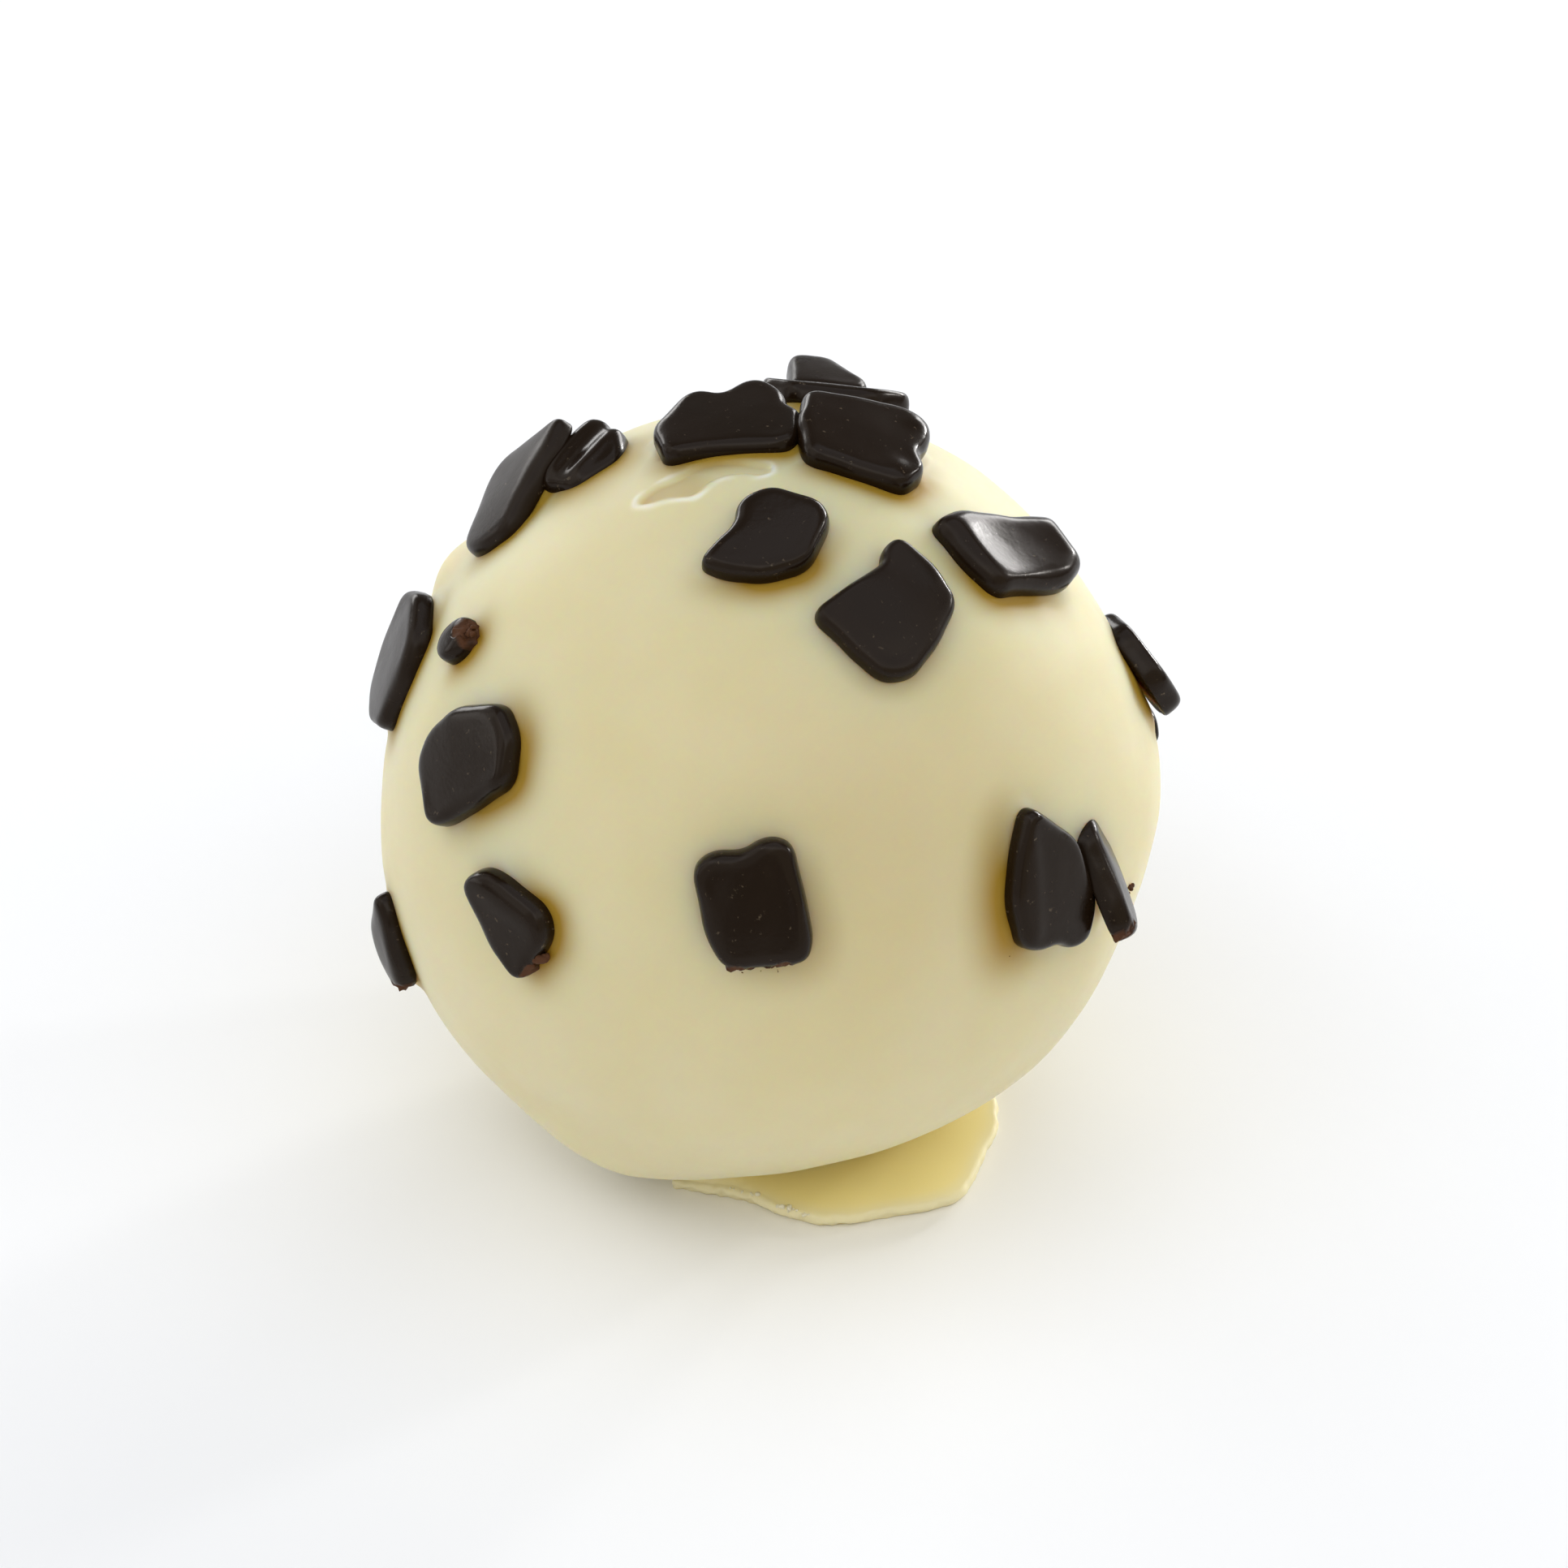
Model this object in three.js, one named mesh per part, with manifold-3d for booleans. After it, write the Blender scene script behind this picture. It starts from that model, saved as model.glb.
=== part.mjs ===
// A chocolate truffle: a ball dipped in white chocolate that has set into a thin foot,
// with flakes of dark chocolate stuck in the coat. It is one piece, so it is one solid.
//
// Millimetres, +Z up. The origin is on the foot's flat underside, straight below the ball's
// centre. A direction out of the ball's centre is given as [around, up] in degrees: around 0 is
// the front (-Y) and 90 is the right (+X); up 0 is level and 90 is the top.

import * as THREE from "three";
import { mergeVertices } from "three/addons/utils/BufferGeometryUtils.js";
import Module from "manifold-3d";

const wasm = await Module();
wasm.setup();

// ---- Driving dimensions -------------------------------------------------------------------

const ballRadius = 14.85;
const ballCentreHeight = 14.0; // above the table
const ballSunkTo = 0.4; // the ball's underside is flat at this height, inside the foot
const ballFacets = 12; // divisions along an edge of the icosahedron that the ball starts from

// Hand-rolled unevenness: where the ball swells or is flat, how wide that is, and how high.
const swells = [
  { at: [-68, -28], width: 34, height: 0.62 },
  { at: [-37, -49], width: 13, height: 0.82 },
  { at: [94, 5], width: 13, height: 0.25 },
  { at: [30, -51], width: 22, height: -0.4 },
  { at: [113, 29], width: 20, height: -0.28 },
  { at: [-113, 28], width: 7, height: 0.62 },
  { at: [-166, 54], width: 30, height: 0.25 },
  { at: [73, -21], width: 13, height: -0.24 },
];

const footThickness = 0.8;
const footEdgeBevel = 0.24;
const footCornerSetback = 1.2;
// The foot ran out further at the front right, where it ends in a corner.
const footCorners = [
  [-5.2, -6.6],
  [-2.6, -7.5],
  [-0.9, -8.0],
  [0.9, -9.2],
  [2.5, -9.6],
  [7.5, -8.2],
  [9.1, -3.2],
  [8.5, 1.0],
  [6.4, 5.4],
  [1.5, 7.9],
  [-4.0, 7.2],
  [-7.6, 3.4],
  [-7.9, -1.6],
];

const flakeThickness = 0.95;
const flakeLift = 0.22; // of a flake's middle plane above the coat
const flakeEdgeBevel = 0.18;
const flakeCornerSetback = 0.55;
const flakeCurveSegments = 2; // facets round a corner

// Each flake: where its middle is, which way its face points if it isn't lying flat, how far it
// is turned about its face, and its corners in its own plane (x, y). Unturned, y runs uphill.
const frontFlakes = [
  {
    name: "long flake leaning at the left shoulder",
    at: [-111.7, 47.8],
    faces: [-88, 40],
    turn: -58,
    lift: 0.74,
    corners: [
      [-3.2, 0.7], [-0.9, -2.0], [0.2, -2.0], [2.9, -0.7],
      [3.0, 0.3], [2.6, 1.2], [1.8, 2.0], [-1.6, 1.4],
    ],
  },
  {
    name: "crumpled flake beside it",
    at: [-119.5, 57.5],
    faces: [-76, 68],
    turn: 75,
    lift: 0.2,
    thickness: 1.3,
    corners: [
      [-1.7, -1.3], [-1.3, 0.4], [0.3, 1.7], [0.95, 1.4], [1.15, 0.7],
      [1.65, 0.5], [1.65, -0.5], [1.45, -1.45], [-0.2, -2.2],
    ],
  },
  {
    name: "flake on the left edge",
    at: [-94.5, 20.5],
    faces: [-83, 22],
    turn: -56,
    lift: 0.45,
    corners: [
      [-2.7, -0.3], [-2.6, 1.3], [-1.0, 2.4], [0.4, 2.3],
      [2.6, 0.8], [2.4, -0.9], [1.3, -1.9], [-1.0, -1.6],
    ],
  },
  {
    name: "small nugget",
    at: [-77, 36],
    lift: 0.2,
    corners: [[-0.9, -0.2], [-0.4, -0.8], [0.45, -0.65], [0.95, 0.2], [0.7, 1.0], [-0.4, 1.0]],
  },
  {
    name: "flake at the left",
    at: [-57, 25.5],
    corners: [
      [2.6, 0.6], [2.0, 2.2], [0.7, 2.9], [-1.4, 1.6],
      [-2.3, 0.2], [-2.3, -1.2], [-0.3, -2.75], [0.5, -2.1],
    ],
  },
  {
    name: "pointed flake at the lower left",
    at: [-40.5, 7.5],
    corners: [[-2.2, 1.0], [-0.7, -0.9], [0.9, -1.9], [1.9, 0.1], [1.7, 1.2], [-0.4, 1.8], [-1.5, 1.7]],
  },
  {
    name: "flake low on the left edge",
    at: [-74, -14.5],
    faces: [-62, -7],
    turn: -77,
    lift: 0.45,
    corners: [[-2.2, 0.4], [-1.2, 1.0], [0.6, 0.9], [1.9, 0.6], [2.1, -0.3], [1.0, -0.9], [-0.8, -0.8]],
  },
  {
    name: "snapped flake in the middle",
    at: [-2, 19.5],
    corners: [
      [-2.3, 1.2], [-1.7, 1.8], [-0.6, 1.8], [0.4, 2.4], [1.2, 2.2],
      [2.0, -1.3], [1.8, -2.2], [-1.1, -2.5], [-1.8, -1.2],
    ],
  },
  {
    name: "wavy flake on the crown",
    at: [-154, 75.2],
    faces: [-90, 86],
    turn: 90,
    lift: 0.4,
    thickness: 1.0,
    corners: [
      [-2.7, -0.7], [-2.2, 0.2], [-1.5, 1.3], [-0.9, 1.6], [-0.1, 1.15], [0.7, 2.1], [1.5, 2.1],
      [2.2, 1.1], [2.25, 0.35], [2.8, -0.1], [2.75, -1.7], [2.4, -2.4], [-0.4, -2.45],
      [-2.2, -2.6],
    ],
  },
  {
    name: "notched flake on the crown",
    at: [119.5, 74.5],
    faces: [74, 75.5],
    turn: -74,
    lift: 0.5,
    thickness: 1.0,
    corners: [
      [-2.3, 2.2], [1.4, 2.2], [2.4, 1.5], [2.4, 0.6], [1.9, -0.5],
      [2.2, -1.4], [1.5, -2.5], [0.9, -2.5], [-2.2, -1.8], [-2.6, 0.2],
    ],
  },
  {
    name: "flake lying across the one behind the crown",
    at: [166.5, 55],
    faces: [150, 78],
    turn: -150,
    lift: 1.18,
    thickness: 0.9,
    corners: [[-1.4, -1.6], [1.3, -1.6], [1.5, -0.9], [0.1, 1.5], [-1.4, 1.5]],
  },
  {
    name: "flake behind the crown",
    at: [164.5, 56],
    faces: [169, 57],
    turn: -169,
    lift: 0.52,
    thickness: 0.9,
    corners: [[-2.7, -0.9], [-1.6, -2.2], [1.5, -2.2], [3.0, -0.8], [2.6, 1.4], [0.2, 2.2], [-2.3, 1.6]],
  },
  {
    name: "kite-shaped flake in front of the crown",
    at: [-0.5, 73.5],
    lift: 0.25,
    corners: [
      [-2.6, -1.2], [-1.6, -1.6], [-0.2, -1.8], [1.4, -1.2], [2.2, 1.0],
      [1.8, 1.8], [0.0, 2.4], [-1.1, 1.8], [-1.3, 0.5],
    ],
  },
  {
    name: "flake with a knob at the right",
    at: [33, 57.2],
    corners: [
      [1.9, 2.8], [1.2, 2.6], [0.9, 2.0], [-0.4, 1.8], [-2.7, 1.2],
      [-1.5, -2.0], [-0.4, -2.3], [1.0, -1.6], [2.7, -0.3], [2.6, 1.2],
    ],
  },
  {
    name: "dished flake on the right shoulder",
    at: [79, 53],
    faces: [77, 57],
    turn: -73,
    corners: [
      [-3.25, 0.0], [-2.3, 1.1], [0.2, 2.1], [1.9, 3.1], [2.4, 2.4],
      [3.3, 1.2], [2.6, -0.1], [0.6, -1.4], [-0.6, -2.2], [-1.8, -1.5],
    ],
  },
  {
    name: "flake standing out at the right edge",
    at: [98.5, 18],
    faces: [115, 29],
    turn: -129,
    lift: 0.3,
    thickness: 1.0,
    corners: [[-2.3, 0.3], [-1.4, -1.6], [0.8, -1.9], [2.2, -0.7], [2.0, 1.4], [-0.6, 1.8]],
  },
  {
    name: "flake just round the right edge",
    at: [107, 1.5],
    lift: 0.25,
    corners: [[-1.3, -0.4], [0.2, -0.7], [1.3, -0.3], [1.1, 0.6], [-0.8, 0.7]],
  },
  {
    name: "tall flake at the lower right",
    at: [44.5, 12],
    lift: 0.3,
    corners: [
      [-0.5, 3.5], [-1.3, 2.0], [-1.9, 0.2], [-1.8, -1.6], [-1.1, -2.1], [-0.1, -2.3],
      [0.6, -2.8], [1.4, -2.75], [2.05, -1.5], [1.4, 1.4], [0.4, 2.6],
    ],
  },
  {
    name: "flake leaning on the tall one",
    at: [56.6, 7.6],
    faces: [95, 23],
    turn: -124,
    lift: 0.38,
    thickness: 1.05,
    corners: [
      [-2.35, -0.6], [-1.7, -1.3], [1.3, -1.4], [2.2, -1.2],
      [2.4, 0.1], [1.8, 1.2], [-0.8, 1.5], [-1.9, 1.0],
    ],
  },
];

// The flakes round the back lie flat; only their middle and rough size are set one by one.
const backFlakes = [
  { at: [172, 45], size: 2.3 },
  { at: [131, 7], size: 2.5 },
  { at: [153, 20], size: 2.1 },
  { at: [177, 26], size: 2.6 },
  { at: [-161, 20], size: 1.9 },
  { at: [-139, 11], size: 2.7 },
  { at: [-120, -8], size: 2.2 },
  { at: [143, -11], size: 2.4 },
  { at: [168, -2], size: 2.6 },
  { at: [-162, -7], size: 2.2 },
  { at: [-141, -18], size: 1.7 },
  { at: [120, -15], size: 2.0 },
];

// The mark left where a flake came off: a shallow recess with the flake's outline.
const mark = {
  at: [-80, 80.5],
  turn: 80,
  depth: 0.36,
  bevel: 0.06,
  corners: [
    [-2.75, -0.5], [-2.5, -0.95], [-1.3, -0.85], [-0.5, -1.15], [0.2, -0.35],
    [0.8, 0.0], [2.2, -0.15], [2.6, 0.2], [2.3, 0.7], [0.6, 1.2],
    [-0.2, 1.15], [-1.2, 0.5], [-2.2, 0.15],
  ],
};

const whiteChocolate = new THREE.MeshStandardMaterial({
  color: 0xe6dcb8,
  roughness: 0.5,
  metalness: 0,
});

// ---- Helpers ------------------------------------------------------------------------------

const radians = THREE.MathUtils.degToRad;

// The unit vector of an [around, up] pair.
function direction([around, up]) {
  const a = radians(around);
  const u = radians(up);
  return new THREE.Vector3(
    Math.cos(u) * Math.sin(a),
    -Math.cos(u) * Math.cos(a),
    Math.sin(u),
  );
}

// The coat's distance from the ball's centre in a given direction.
function coatRadius(unit) {
  return swells.reduce((radius, swell) => {
    const away = THREE.MathUtils.radToDeg(unit.angleTo(direction(swell.at)));
    return radius + swell.height * Math.exp(-((away / swell.width) ** 2));
  }, ballRadius);
}

// An even spread of fixed values from 0 to 1, one for each whole number.
function uneven(number) {
  const value = Math.sin(number * 127.1) * 43758.5453;
  return value - Math.floor(value);
}

// A polygon whose corners are rounded from `setback` along each side.
function roundedShape(corners, setback) {
  const points = corners.map(([x, y]) => new THREE.Vector2(x, y));
  const shape = new THREE.Shape();
  points.forEach((corner, i) => {
    const before = points.at(i - 1);
    const after = points[(i + 1) % points.length];
    const toBefore = Math.min(setback / corner.distanceTo(before), 0.45);
    const toAfter = Math.min(setback / corner.distanceTo(after), 0.45);
    const start = corner.clone().lerp(before, toBefore);
    const end = corner.clone().lerp(after, toAfter);
    if (i === 0) shape.moveTo(start.x, start.y);
    else shape.lineTo(start.x, start.y);
    shape.quadraticCurveTo(corner.x, corner.y, end.x, end.y);
  });
  shape.closePath();
  return shape;
}

// A plate of the given thickness with bevelled edges, centred on its middle plane.
function plate(shape, thickness, bevel) {
  const geometry = new THREE.ExtrudeGeometry(shape, {
    depth: thickness - 2 * bevel,
    bevelThickness: bevel,
    bevelSize: bevel,
    bevelOffset: -bevel,
    bevelSegments: 1,
    curveSegments: flakeCurveSegments,
  });
  return geometry.translate(0, 0, bevel - thickness / 2);
}

// A frame on the ball: x to the side, y uphill and z out along the face, then turned about z.
function frameAt({ at, faces = at, turn = 0, lift = flakeLift }) {
  const outward = direction(faces);
  const sideways = direction([faces[0] + 90, 0]);
  const uphill = outward.clone().cross(sideways);
  const place = direction(at);
  place.multiplyScalar(coatRadius(place) + lift);
  place.z += ballCentreHeight;
  return new THREE.Matrix4()
    .makeBasis(sideways, uphill, outward)
    .multiply(new THREE.Matrix4().makeRotationZ(radians(turn)))
    .setPosition(place);
}

function toSolid(geometry) {
  const bare = geometry.clone();
  bare.deleteAttribute("normal");
  bare.deleteAttribute("uv");
  const merged = mergeVertices(bare);
  return new wasm.Manifold(
    new wasm.Mesh({
      numProp: 3,
      vertProperties: merged.attributes.position.array,
      triVerts: new Uint32Array(merged.index.array),
    }),
  );
}

function toGeometry(solid) {
  const { vertProperties, triVerts } = solid.getMesh();
  const geometry = new THREE.BufferGeometry();
  geometry.setAttribute("position", new THREE.BufferAttribute(vertProperties, 3));
  geometry.setIndex(new THREE.BufferAttribute(triVerts, 1));
  geometry.computeVertexNormals();
  return geometry;
}

// ---- The ball and its foot ----------------------------------------------------------------

function ballSolid() {
  const geometry = new THREE.IcosahedronGeometry(1, ballFacets);
  const position = geometry.attributes.position;
  const point = new THREE.Vector3();
  for (let i = 0; i < position.count; i++) {
    point.fromBufferAttribute(position, i).normalize();
    point.multiplyScalar(coatRadius(point));
    const height = Math.max(point.z + ballCentreHeight, ballSunkTo);
    position.setXYZ(i, point.x, point.y, height);
  }
  return toSolid(geometry);
}

function footSolid() {
  const outline = roundedShape(footCorners, footCornerSetback);
  const geometry = plate(outline, footThickness, footEdgeBevel);
  return toSolid(geometry.translate(0, 0, footThickness / 2));
}

// ---- The flakes ---------------------------------------------------------------------------

function flakeSolid(flake) {
  const outline = roundedShape(flake.corners, flakeCornerSetback);
  const thickness = flake.thickness ?? flakeThickness;
  return toSolid(plate(outline, thickness, flakeEdgeBevel).applyMatrix4(frameAt(flake)));
}

// A back flake's corners stand round its middle at uneven angles and distances.
function backFlake({ at, size }, number) {
  const count = 4 + (number % 3);
  const corners = Array.from({ length: count }, (_, i) => {
    const draw = 20 * number + 2 * i;
    const angle = ((i + 0.6 * (uneven(draw + 1) - 0.5)) * 2 * Math.PI) / count;
    const reach = size * (0.78 + 0.44 * uneven(draw + 2));
    return [reach * Math.cos(angle), reach * Math.sin(angle)];
  });
  return { at, corners, turn: 360 * uneven(20 * number) };
}

// What the mark takes away: a plate that stands clear of the coat and reaches `depth` into it.
function markSolid() {
  const thickness = 2;
  const outline = roundedShape(mark.corners, flakeCornerSetback);
  const frame = frameAt({ ...mark, lift: thickness / 2 - mark.depth });
  return toSolid(plate(outline, thickness, mark.bevel).applyMatrix4(frame));
}

// ---- One solid ----------------------------------------------------------------------------

let truffleSolid = ballSolid().add(footSolid()).subtract(markSolid());
for (const flake of [...frontFlakes, ...backFlakes.map(backFlake)])
  truffleSolid = truffleSolid.add(flakeSolid(flake));

const truffle = new THREE.Mesh(toGeometry(truffleSolid), whiteChocolate);
truffle.name = "flaked_truffle";

const part = new THREE.Group();
part.add(truffle);

export default part;
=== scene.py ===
# %% [markdown]
# # A chocolate truffle with dark flakes
#
# A truffle is rolled by hand, dipped in white chocolate and set down to cool. While the coat
# is soft, flakes of dark chocolate are pressed in, and what runs off sets into a thin foot.
#
# The solid shape is already packed as a frame. This lesson dresses it: one fine surface for
# the white coat and its foot, one mesh for all the dark flakes, and two for the loose crumbs,
# the dark ones and the pale ones.

import bpy
import numpy as np
from mathutils import Matrix


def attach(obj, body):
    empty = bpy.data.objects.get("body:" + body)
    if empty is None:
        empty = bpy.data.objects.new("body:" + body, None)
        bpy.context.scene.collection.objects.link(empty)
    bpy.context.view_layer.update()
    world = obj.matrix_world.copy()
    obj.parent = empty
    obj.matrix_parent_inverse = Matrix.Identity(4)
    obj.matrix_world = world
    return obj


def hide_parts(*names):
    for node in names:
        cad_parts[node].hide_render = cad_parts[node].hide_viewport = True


scene = bpy.context.scene
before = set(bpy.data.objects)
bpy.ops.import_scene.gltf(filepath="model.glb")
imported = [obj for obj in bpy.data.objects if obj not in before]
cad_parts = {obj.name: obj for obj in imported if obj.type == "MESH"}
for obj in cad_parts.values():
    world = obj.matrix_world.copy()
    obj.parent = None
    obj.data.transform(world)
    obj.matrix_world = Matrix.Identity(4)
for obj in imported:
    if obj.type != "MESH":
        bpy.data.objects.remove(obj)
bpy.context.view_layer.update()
print("frame nodes:", sorted(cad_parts))

# %% [markdown]
# ## Places on a ball
#
# Everything on a truffle sits at some place round a ball, so places are written as two angles:
# how far around from the front, and how far up from level. Lengths are in millimetres and
# become metres only when a mesh is made.

# %% Directions from the ball's centre
MM = 0.001
BALL_RADIUS = 14.85
BALL_CENTRE = np.array([0.0, 0.0, 14.0])


def direction(around, up):
    """The unit vector (cos up sin around, -cos up cos around, sin up); both in degrees."""
    a, u = np.radians(around), np.radians(up)
    return np.stack([np.cos(u) * np.sin(a), -np.cos(u) * np.cos(a), np.sin(u)], axis=-1)


def degrees_away(unit, around, up):
    """The angle between each unit vector and a direction: the arc cosine of their product."""
    return np.degrees(np.arccos(np.clip(unit @ direction(around, up), -1, 1)))


print("the front is", direction(0, 0), "and the top is", direction(0, 90).round(3))

# %% [markdown]
# A hand-rolled ball is never round. Eight broad swells and hollows, each a bell curve over the
# angle from its own middle, give this one its lopsided shape. Noise could do it too, but named
# swells put each bulge where it belongs.

# %% The uneven ball
# around, up, width in degrees, height in mm
SWELLS = [
    (-68, -28, 34, 0.62),
    (-37, -49, 13, 0.82),
    (94, 5, 13, 0.25),
    (30, -51, 22, -0.40),
    (113, 29, 20, -0.28),
    (-113, 28, 7, 0.62),
    (-166, 54, 30, 0.25),
    (73, -21, 13, -0.24),
]


def bell(value, width):
    """exp(-(value / width)^2): 1 in the middle, and less and less to both sides."""
    return np.exp(-((value / width) ** 2))


def coat_radius(unit):
    """Ball radius plus, for each swell, height * bell(angle from its middle, width)."""
    radius = np.full(unit.shape[:-1], BALL_RADIUS)
    for around, up, width, height in SWELLS:
        radius += height * bell(degrees_away(unit, around, up), width)
    return radius


print("coat radius at the front, left and top:",
      coat_radius(direction(np.array([0, -90, 0]), np.array([0, 0, 90]))).round(2))

# %% [markdown]
# ## The camera
#
# A long lens from well back, looking down at 35 degrees, shows a small thing without making
# its near side bulge. Three perpendicular directions, right, up and back, place the camera.

# %% Camera
LENS = 160.0
CAMERA_DISTANCE = 270.0
LOOK_DOWN = np.radians(35.0)
AIM_RIGHT, AIM_UP = 0.50, 0.345  # from the ball's centre, as the camera sees it
view_right = np.array([1.0, 0.0, 0.0])
view_up = np.array([0.0, np.sin(LOOK_DOWN), np.cos(LOOK_DOWN)])
view_back = np.array([0.0, -np.cos(LOOK_DOWN), np.sin(LOOK_DOWN)])
aim = BALL_CENTRE + AIM_RIGHT * view_right + AIM_UP * view_up


def add_turned(name, data, axes, place):
    """An object with its x, y and z along the three axes, at a place in mm."""
    turned = np.eye(4)
    turned[:3, :3] = np.stack(axes, axis=1)
    turned[:3, 3] = place * MM
    thing = bpy.data.objects.new(name, data)
    thing.matrix_world = Matrix(turned.tolist())
    scene.collection.objects.link(thing)
    return thing


camera_data = bpy.data.cameras.new("camera")
camera_data.lens = LENS
camera_data.sensor_width = 36.0
camera_data.clip_start = 0.01
camera = add_turned("camera", camera_data, [view_right, view_up, view_back],
                    aim + CAMERA_DISTANCE * view_back)
scene.camera = camera
print("camera at", camera.matrix_world.translation[:])

# %% [markdown]
# ## Smooth unevenness
#
# Chocolate that has flowed is uneven in a smooth way. A sum of sine waves in random directions
# is a simple noise for that: it has no grid, it can be worked out for a whole array of points
# at once, and a seed makes it the same each time. Another seed gives another pattern.

# %% Ripples


def ripples(points, wavelength, seed, waves=9):
    """Sum of sin(k . point + phase) over random wave vectors k near 2 pi / wavelength,
    scaled to stay mostly within -1 to 1."""
    draw = np.random.default_rng(seed)
    axes = draw.normal(size=(waves, points.shape[-1]))
    axes /= np.linalg.norm(axes, axis=1, keepdims=True)
    turns = 2 * np.pi / (wavelength * draw.uniform(0.7, 1.5, waves))
    phases = draw.uniform(0, 2 * np.pi, waves)
    total = np.zeros(points.shape[:-1])
    for axis, turn, phase in zip(axes, turns, phases):
        total += np.sin(points @ axis * turn + phase)
    return total / np.sqrt(waves)


def smooth_step(value):
    """0 below 0, 1 above 1, and 3 v^2 - 2 v^3 between them."""
    v = np.clip(value, 0, 1)
    return v * v * (3 - 2 * v)


some_points = np.random.default_rng(1).normal(size=(500, 3))
print("ripples range:", np.ptp(ripples(some_points, 1, 2)).round(2))

# %% [markdown]
# ## Outlines
#
# A flake, the mark that a lost flake left and the foot are all flat shapes with soft corners.
# Each is a short list of corners; every corner is replaced by a curve that starts a little
# before it and ends a little after it. Evenly spaced points on that line make even meshes.

# %% Rounded outlines


def rounded(corners, setback, count):
    """`count` evenly spaced points of a polygon whose corners are quadratic curves
    (1-t)^2 start + 2t(1-t) corner + t^2 end, with start and end `setback` from the corner."""
    corner = np.array(corners, float)
    before, after = np.roll(corner, 1, axis=0), np.roll(corner, -1, axis=0)
    to_before = np.linalg.norm(before - corner, axis=1)
    to_after = np.linalg.norm(after - corner, axis=1)
    start = corner + (before - corner) * np.minimum(setback / to_before, 0.45)[:, None]
    end = corner + (after - corner) * np.minimum(setback / to_after, 0.45)[:, None]
    t = np.linspace(0, 1, 12)[None, :, None]
    curve = (1 - t) ** 2 * start[:, None] + 2 * t * (1 - t) * corner[:, None] + t**2 * end[:, None]
    line = curve.reshape(-1, 2)
    line = np.vstack([line, line[:1]])
    along = np.concatenate([[0], np.cumsum(np.linalg.norm(np.diff(line, axis=0), axis=1))])
    even = np.linspace(0, along[-1], count, endpoint=False)
    return np.stack([np.interp(even, along, side) for side in line.T], axis=1)


def counter_clockwise(outline):
    """The outline, turned round if its shoelace area is negative."""
    x, y = outline.T
    area = np.sum(x * np.roll(y, -1) - np.roll(x, -1) * y) / 2
    return outline if area > 0 else outline[::-1]


def depth_inside(points, outline):
    """Distance from each point to the outline: positive inside it, negative outside.
    A point is inside where a line from it to the right crosses the outline an odd number
    of times."""
    a, b = outline, np.roll(outline, -1, axis=0)
    p = points[..., None, :]
    edge = b - a
    part = np.clip(((p - a) * edge).sum(-1) / (edge**2).sum(-1), 0, 1)
    nearest = np.linalg.norm(p - a - part[..., None] * edge, axis=-1).min(-1)
    px, py = p[..., 0], p[..., 1]
    straddles = (a[:, 1] > py) != (b[:, 1] > py)
    rise = np.where(edge[:, 1] == 0, 1, edge[:, 1])
    crosses = straddles & (px < a[:, 0] + (py - a[:, 1]) * edge[:, 0] / rise)
    return np.where(crosses.sum(-1) % 2 == 1, nearest, -nearest)


# %% [markdown]
# ## The flakes
#
# Each flake is one row: where its middle is, which way its face points if it doesn't lie flat,
# how far it is turned, how far its middle plane stands off the coat, its thickness, and its
# corners in its own plane. Some have ridges, each a line from x1, y1 to x2, y2 with a width and
# a height. Some snapped off a larger piece, so a list of crumbly spots, each x, y and reach,
# says where the raw broken chocolate shows. The rest, such as how matt it is or how far and how
# strongly it shades the coat, stands in a row only where it differs from what is usual.

# %% Flakes at the front
FLAKE_LIFT = 0.22
FLAKE_THICKNESS = 0.95
FLAKE_SETBACK = 0.55

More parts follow.
